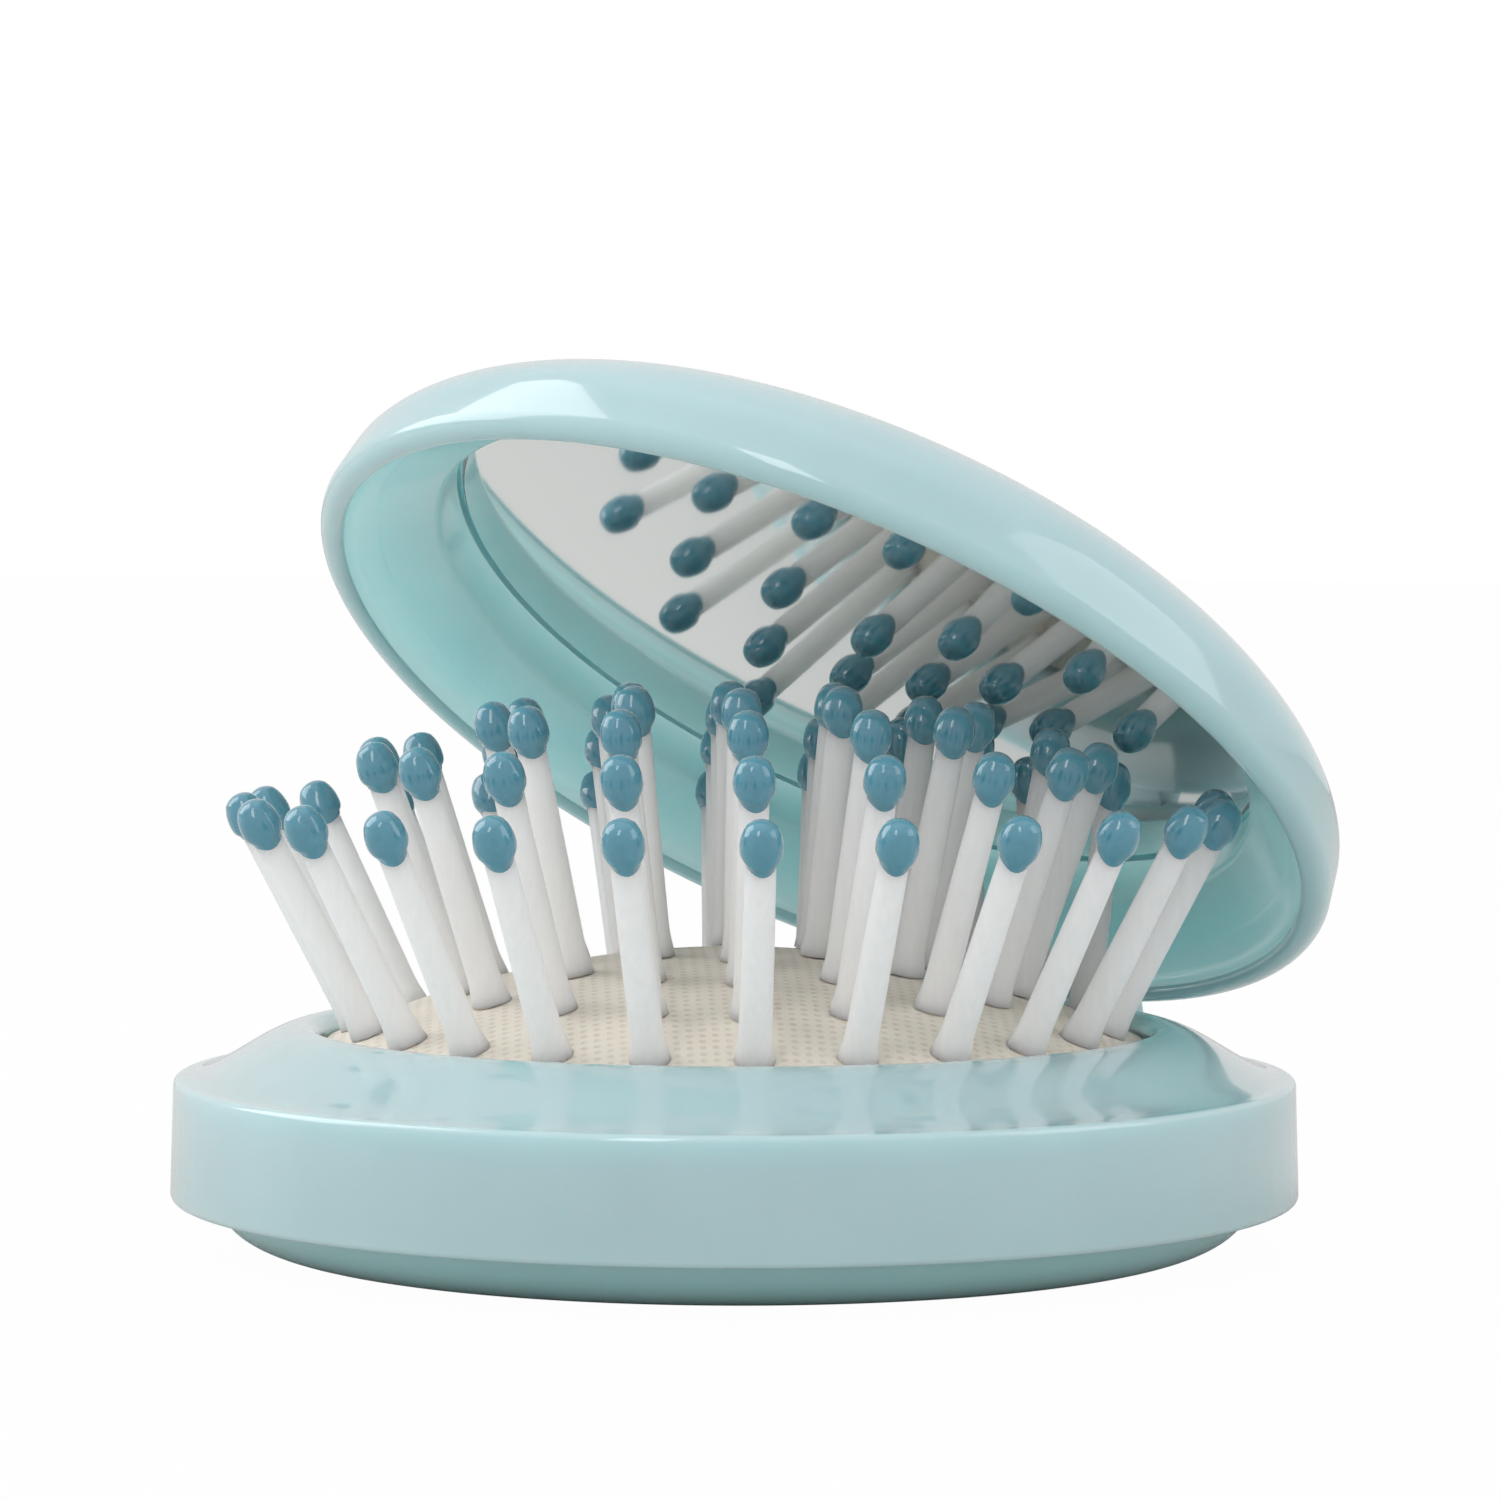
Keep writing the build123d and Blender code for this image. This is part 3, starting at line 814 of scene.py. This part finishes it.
class BRUSH_OT_pins(Operator):
    """Model one flared nylon pin for each ring and set its copies round the cushion"""

    bl_idname = "brush.pins"
    bl_label = "Nylon pins"

    def execute(self, context):
        pins = context.scene.brush_pins
        finish = nylon("pin_nylon", tuple(pins.tint))
        for ring, name in enumerate(PIN_RINGS):
            top = PIN_REACH[ring] * MM
            root_r = pins.foot_radius + pins.root_flare
            stops = [
                (0, -pins.root),
                (root_r, -pins.root),
                (pins.foot_radius + pins.root_flare / 3, -pins.root / 3),
            ]
            stops += bend(
                (pins.foot_radius, 0.1 * MM),
                (pins.foot_radius - 0.1 * MM, 0.4 * pins.flare),
                (pins.neck_radius, 0.4 * pins.flare),
                (pins.neck_radius, pins.flare),
                7,
            )
            for share in (0.25, 0.5, 0.75, 1.0):
                radius = pins.neck_radius + (pins.top_radius - pins.neck_radius) * share
                stops.append((radius, pins.flare + (top - pins.flare) * share))
            stops.append((0, top))
            master = turned("pin", stops, sides=pins.sides, smooth=60)
            made = []
            for direction in pin_directions(ring):
                twin = copy_of(master, "pin_copy")
                matrix = pin_matrix(ring, direction)
                settle(twin, matrix)
                normal = cushion_normal(ring, direction)
                bpy.ops.object.mode_set(mode="EDIT")
                bpy.ops.mesh.select_all(action="SELECT")
                bpy.ops.mesh.bisect(
                    plane_co=matrix.translation + normal * pins.seat,
                    plane_no=normal,
                    use_fill=True,
                    clear_inner=True,
                )
                bpy.ops.object.mode_set(mode="OBJECT")
                made.append(twin)
            bpy.data.objects.remove(master)
            group = joined(made, "nylon_pins_" + name)
            take(group)
            bpy.ops.object.shade_smooth_by_angle(angle=radians(60))
            dress(group, finish)
            outer = name == "outer"
            place(group, "base" if outer else "brush", "pins", "pins_" + name)
            if outer:
                fold_with_lid(group)
        return {"FINISHED"}


class BRUSH_OT_tips(Operator):
    """Model one pointed ball tip and set its copies on the pins"""

    bl_idname = "brush.tips"
    bl_label = "Ball tips"

    def execute(self, context):
        pins = context.scene.brush_pins
        finish = tip_enamel("tip_enamel", tuple(pins.tip_tint))
        master = self.model_tip(pins)
        for ring, name in enumerate(PIN_RINGS):
            made = []
            for direction in pin_directions(ring):
                twin = copy_of(master, "tip_copy")
                spin = Matrix.Rotation(pins.tip_facing - radians(direction), 4, "Z")
                lift = Matrix.Translation((0, 0, PIN_REACH[ring] * MM))
                settle(twin, pin_matrix(ring, direction) @ lift @ spin)
                made.append(twin)
            group = joined(made, "ball_tips_" + name)
            dress(group, finish)
            outer = name == "outer"
            place(group, "base" if outer else "brush", "tips", "tips_" + name)
            if outer:
                fold_with_lid(group)
        bpy.data.objects.remove(master)
        return {"FINISHED"}

    def model_tip(self, pins):
        """An egg of enamel whose lower edge runs down the pin to a blunt point on two sides."""
        half = pins.tip_length / 2
        skin = pins.top_radius + pins.tip_skin
        wide = pins.tip_radius
        stops = [
            (0, -0.78 * half),
            (0.8 * skin, -0.78 * half),
            (0.97 * skin, -0.76 * half),
            (skin, -0.7 * half),
        ]
        stops += bend(
            (1.04 * skin, -0.6 * half),
            (1.08 * wide, -0.4 * half),
            (1.06 * wide, 0.34 * half),
            (0.76 * wide, 0.7 * half),
            9,
        )
        stops += bend(
            (0.72 * wide, 0.76 * half),
            (0.56 * wide, 0.9 * half),
            (0.3 * wide, half),
            (0, half),
            6,
        )
        tip = turned("tip", stops, sides=pins.sides, smooth=70)
        swing = pins.tip_swing * half
        for vertex in tip.data.vertices:
            x, y, z = vertex.co
            share = min(1.0, max(0.0, (-0.05 * half - z) / (0.65 * half)))
            around = sqrt(x * x + y * y)
            if around > 0.5 * skin:
                vertex.co.z = z - swing * share * (x * x - y * y) / (around * around)
        return tip


def lid_matrix():
    """Turns a piece of the shut lid to where the lid stands open."""
    angle = bpy.context.scene.brush_lid.open_angle
    swing = Matrix.Rotation(-angle, 4, "X")
    return Matrix.Translation(HINGE_POINT) @ swing @ Matrix.Translation(-HINGE_POINT)


def lid_floor():
    """Height of the shut lid's rim."""
    scene = bpy.context.scene
    return RING_BOX[0][2] + scene.brush_case.band_height + scene.brush_lid.seat


class BRUSH_OT_lid(Operator):
    """Model the lid with its rounded rim, funnel, well, recess and knuckle"""

    bl_idname = "brush.lid"
    bl_label = "Lid"

    def execute(self, context):
        lid = context.scene.brush_lid
        hinge = context.scene.brush_hinge
        rim = lid_floor()
        rim_in = lid.radius - lid.rim_width
        ledge = rim + lid.ledge_depth
        recess_r = lid.mirror_radius + lid.mirror_gap
        recess = ledge + lid.mirror_sink + lid.mirror_thickness + lid.tape_thickness
        shoulder = (lid.radius - lid.shoulder_in, rim + lid.shoulder_height)
        lean = lid.shoulder_in / (lid.shoulder_height - lid.rim_round)
        crown = (lid.crown_radius, rim + lid.height - lid.crown_rise)
        climb = 0.4 * (crown[1] - shoulder[1])
        reach = 0.5 * (shoulder[0] - crown[0])
        slope = 2 * lid.crown_rise / lid.crown_radius
        crease = (lid.crease_radius, rim + lid.crease_depth)
        well = (recess_r + lid.well_round, rim + lid.well_depth + lid.well_round)
        fall = atan2(lid.well_depth - lid.crease_depth, lid.crease_radius - recess_r)
        stops = [(0, recess), (recess_r * 0.5, recess), (recess_r, recess), (recess_r, ledge)]
        stops += arc(well, lid.well_round, 180, 270 - degrees(fall), 8)
        stops.append(crease)
        stops += bend(
            (crease[0] + 0.04 * MM, crease[1] - 0.05 * MM),
            (crease[0] + 0.6 * (rim_in - crease[0]), crease[1] - lid.funnel_swell),
            (rim_in, rim + lid.rim_rise + 3 * lid.rim_straight),
            (rim_in, rim + lid.rim_rise + lid.rim_straight),
            8,
        )
        stops += bend(
            (rim_in, rim + lid.rim_rise),
            (rim_in, rim + 0.3 * lid.rim_rise),
            (rim_in + 0.25 * MM, rim),
            (lid.radius - lid.rim_round, rim),
            7,
        )
        stops += arc((lid.radius - lid.rim_round, rim + lid.rim_round), lid.rim_round, -90, 0, 9)[1:]
        stops += bend(
            shoulder,
            (shoulder[0] - lean * climb, shoulder[1] + climb),
            (crown[0] + reach, crown[1] - slope * reach),
            crown,
            26,
        )
        inside = [lid.crown_radius * (1 - i / 10) for i in range(1, 11)]
        stops += [(r, rim + lid.height - cap_drop(r, lid.crown_radius, lid.crown_rise)) for r in inside]
        cap = turned("lid_cap", stops)
        dress(cap, case_plastic())
        cap.data.materials.append(lit_plastic())
        # Faces in the funnel and the well wall take the lit copy of the case plastic, which paints
        # light inside the lid
        for face in cap.data.polygons:
            around = sqrt(face.center.x**2 + face.center.y**2)
            funnel = around < rim_in and face.center.z < crease[1]
            wall = around < crease[0] and crease[1] <= face.center.z < ledge
            face.material_index = 1 if funnel or wall else 0
        settle(cap, lid_matrix())
        place(cap, "lid", "case", "lid_shell")
        half = hinge.lid_width / 2
        back = lid.radius - lid.rim_round
        web_y = HINGE[1] - hinge.barrel_radius + hinge.web_lap
        corners = [
            (back + hinge.web_start, rim + hinge.web_rise),
            (web_y, HINGE[2]),
            (HINGE[1] + hinge.barrel_radius * 0.97, HINGE[2]),
            (back, rim + hinge.web_depth),
        ]
        piece = knuckle("lid_knuckle", -half, half, corners)
        settle(piece, lid_matrix())
        dress(piece, knuckle_plastic())
        place(piece, "lid", "case")
        return {"FINISHED"}


class BRUSH_OT_mirror(Operator):
    """Model the mirror glass with its ground edge"""

    bl_idname = "brush.mirror"
    bl_label = "Mirror"

    def execute(self, context):
        lid = context.scene.brush_lid
        face = lid_floor() + lid.ledge_depth + lid.mirror_sink
        back = face + lid.mirror_thickness
        edge = lid.mirror_bevel
        radius = lid.mirror_radius
        stops = [
            (0, face),
            (radius * 0.5, face),
            (radius - edge, face),
            (radius, face + edge),
            (radius, back),
            (0, back),
        ]
        glass = turned("mirror_disc", stops, smooth=20)
        dress(glass, silvering("mirror_silver"))
        glass.data.materials.append(glass_edge("mirror_edge"))
        for face_of in glass.data.polygons:
            if sqrt(face_of.center.x**2 + face_of.center.y**2) > radius - edge:
                face_of.material_index = 1
        settle(glass, lid_matrix())
        place(glass, "lid", "mirror", "mirror_glass")
        return {"FINISHED"}


class BRUSH_OT_inside(Operator):
    """Give the inner pieces and the hinge pin their finishes"""

    bl_idname = "brush.inside"
    bl_label = "Inner pieces"

    def execute(self, context):
        white = moulded_plastic("inner_plastic", (0.74, 0.75, 0.74), 0.4, glow=0.1)
        finishes = {
            "cushion_retainer": white,
            "pin_plate": white,
            "mirror_tape": foam_tape("foam_tape"),
            "hinge_pin": drawn_steel("hinge_steel"),
        }
        for node, material in finishes.items():
            for slot in frame["nodes"][node].material_slots:
                slot.material = material
        return {"FINISHED"}


def soft_box(name, watts, place, measures):
    """An area lamp that faces the brush.

    Its place is an azimuth from -Y towards +X, an elevation and a distance."""
    azimuth, elevation, distance = place
    lamp = bpy.data.lights.new(name, "AREA")
    lamp.shape = "RECTANGLE"
    lamp.size, lamp.size_y = measures
    lamp.energy = watts
    rig = bpy.data.objects.new(name, lamp)
    bpy.context.collection.objects.link(rig)
    a, e = radians(azimuth), radians(elevation)
    away = Vector((sin(a) * cos(e), -cos(a) * cos(e), sin(e)))
    rig.location = STUDIO_MIDDLE + away * distance
    rig.rotation_mode = "QUATERNION"
    rig.rotation_quaternion = (-away).to_track_quat("-Z", "Y")


def white_for_camera(tree, base, share):
    """Mixes a shader with white where the camera sees it."""
    path = add_node(tree, "ShaderNodeLightPath")
    seen = add_node(tree, "ShaderNodeMath", operation="MULTIPLY")
    seen.inputs[1].default_value = share
    white = add_node(tree, "ShaderNodeEmission")
    mix = add_node(tree, "ShaderNodeMixShader")
    tree.links.new(path.outputs["Is Camera Ray"], seen.inputs[0])
    tree.links.new(seen.outputs["Value"], mix.inputs["Fac"])
    tree.links.new(base, mix.inputs[1])
    tree.links.new(white.outputs["Emission"], mix.inputs[2])
    return mix.outputs["Shader"]


class BRUSH_OT_studio(Operator):
    """Set up the floor, the lamps and the camera"""

    bl_idname = "brush.studio"
    bl_label = "Studio"

    def execute(self, context):
        studio = context.scene.brush_studio
        deselect()
        bpy.ops.mesh.primitive_plane_add(size=FLOOR_SIZE, location=(0, 0, FLOOR_Z))
        floor = bpy.context.object
        floor.name = "studio_floor"
        material = bpy.data.materials.new("floor_paper")
        material.use_nodes = True
        tree = material.node_tree
        shader = tree.nodes["Principled BSDF"]
        shader.inputs["Base Color"].default_value = (*studio.floor_tint, 1)
        shader.inputs["Roughness"].default_value = 0.9
        output = tree.nodes["Material Output"]
        mixed = white_for_camera(tree, shader.outputs["BSDF"], studio.floor_white)
        tree.links.new(mixed, output.inputs["Surface"])
        dress(floor, material)

        world = bpy.data.worlds.new("studio_world")
        context.scene.world = world
        world.use_nodes = True
        tree = world.node_tree
        background = tree.nodes["Background"]
        background.inputs["Color"].default_value = (1, 1, 1, 1)
        path = add_node(tree, "ShaderNodeLightPath")
        strength = add_node(tree, "ShaderNodeMix", data_type="FLOAT")
        strength.inputs["A"].default_value = studio.fill
        strength.inputs["B"].default_value = 1.0
        tree.links.new(path.outputs["Is Camera Ray"], strength.inputs["Factor"])
        tree.links.new(strength.outputs["Result"], background.inputs["Strength"])

        soft_box("window_left", studio.side_light, (-60, 34, 0.75), (0.5, 0.7))
        soft_box("window_strip", studio.strip_light, (23, 34, 0.8), (0.16, 0.6))
        soft_box("window_right", studio.right_light, (118, 24, 0.8), (0.5, 0.6))
        soft_box("light_above", studio.top_light, (20, 82, 0.8), (0.7, 0.7))

        camera = bpy.data.cameras.new("camera")
        camera.lens = studio.lens
        camera.sensor_width = studio.sensor
        camera.clip_start = 0.01
        camera.clip_end = 20.0
        rig = bpy.data.objects.new("camera", camera)
        context.collection.objects.link(rig)
        rig.location = CAMERA_PLACE
        rig.rotation_mode = "QUATERNION"
        roll = Quaternion((0, 0, 1), studio.roll)
        rig.rotation_quaternion = CAMERA_AIM.to_track_quat("-Z", "Y") @ roll
        context.scene.camera = rig
        context.scene.view_settings.view_transform = "Standard"
        return {"FINISHED"}


class BRUSH_PT_panel(Panel):
    """Sidebar panel that lists the pieces"""

    bl_idname = "BRUSH_PT_panel"
    bl_label = "Folding hairbrush"
    bl_space_type = "VIEW_3D"
    bl_region_type = "UI"
    bl_category = "Hairbrush"

    def draw(self, context):
        for operator in OPERATORS:
            self.layout.operator(operator.bl_idname)
        for name, group in SETTINGS.items():
            box = self.layout.box()
            for field in group.__annotations__:
                box.prop(getattr(context.scene, name), field)


SETTINGS = {
    "brush_case": CaseSettings,
    "brush_button": ButtonSettings,
    "brush_cushion": CushionSettings,
    "brush_pins": PinSettings,
    "brush_lid": LidSettings,
    "brush_hinge": HingeSettings,
    "brush_studio": StudioSettings,
}
OPERATORS = (
    BRUSH_OT_base,
    BRUSH_OT_button,
    BRUSH_OT_cushion,
    BRUSH_OT_pins,
    BRUSH_OT_tips,
    BRUSH_OT_lid,
    BRUSH_OT_mirror,
    BRUSH_OT_inside,
    BRUSH_OT_studio,
)


def register():
    for name, group in SETTINGS.items():
        bpy.utils.register_class(group)
        setattr(bpy.types.Scene, name, PointerProperty(type=group))
    for operator in OPERATORS:
        bpy.utils.register_class(operator)
    bpy.utils.register_class(BRUSH_PT_panel)


def unregister():
    bpy.utils.unregister_class(BRUSH_PT_panel)
    for operator in reversed(OPERATORS):
        bpy.utils.unregister_class(operator)
    for name, group in SETTINGS.items():
        delattr(bpy.types.Scene, name)
        bpy.utils.unregister_class(group)


def main():
    register()
    bpy.ops.brush.base()
    bpy.ops.brush.button()
    bpy.ops.brush.cushion()
    bpy.ops.brush.pins()
    bpy.ops.brush.tips()
    bpy.ops.brush.lid()
    bpy.ops.brush.mirror()
    bpy.ops.brush.inside()
    bpy.ops.brush.studio()


if __name__ == "__main__":
    main()
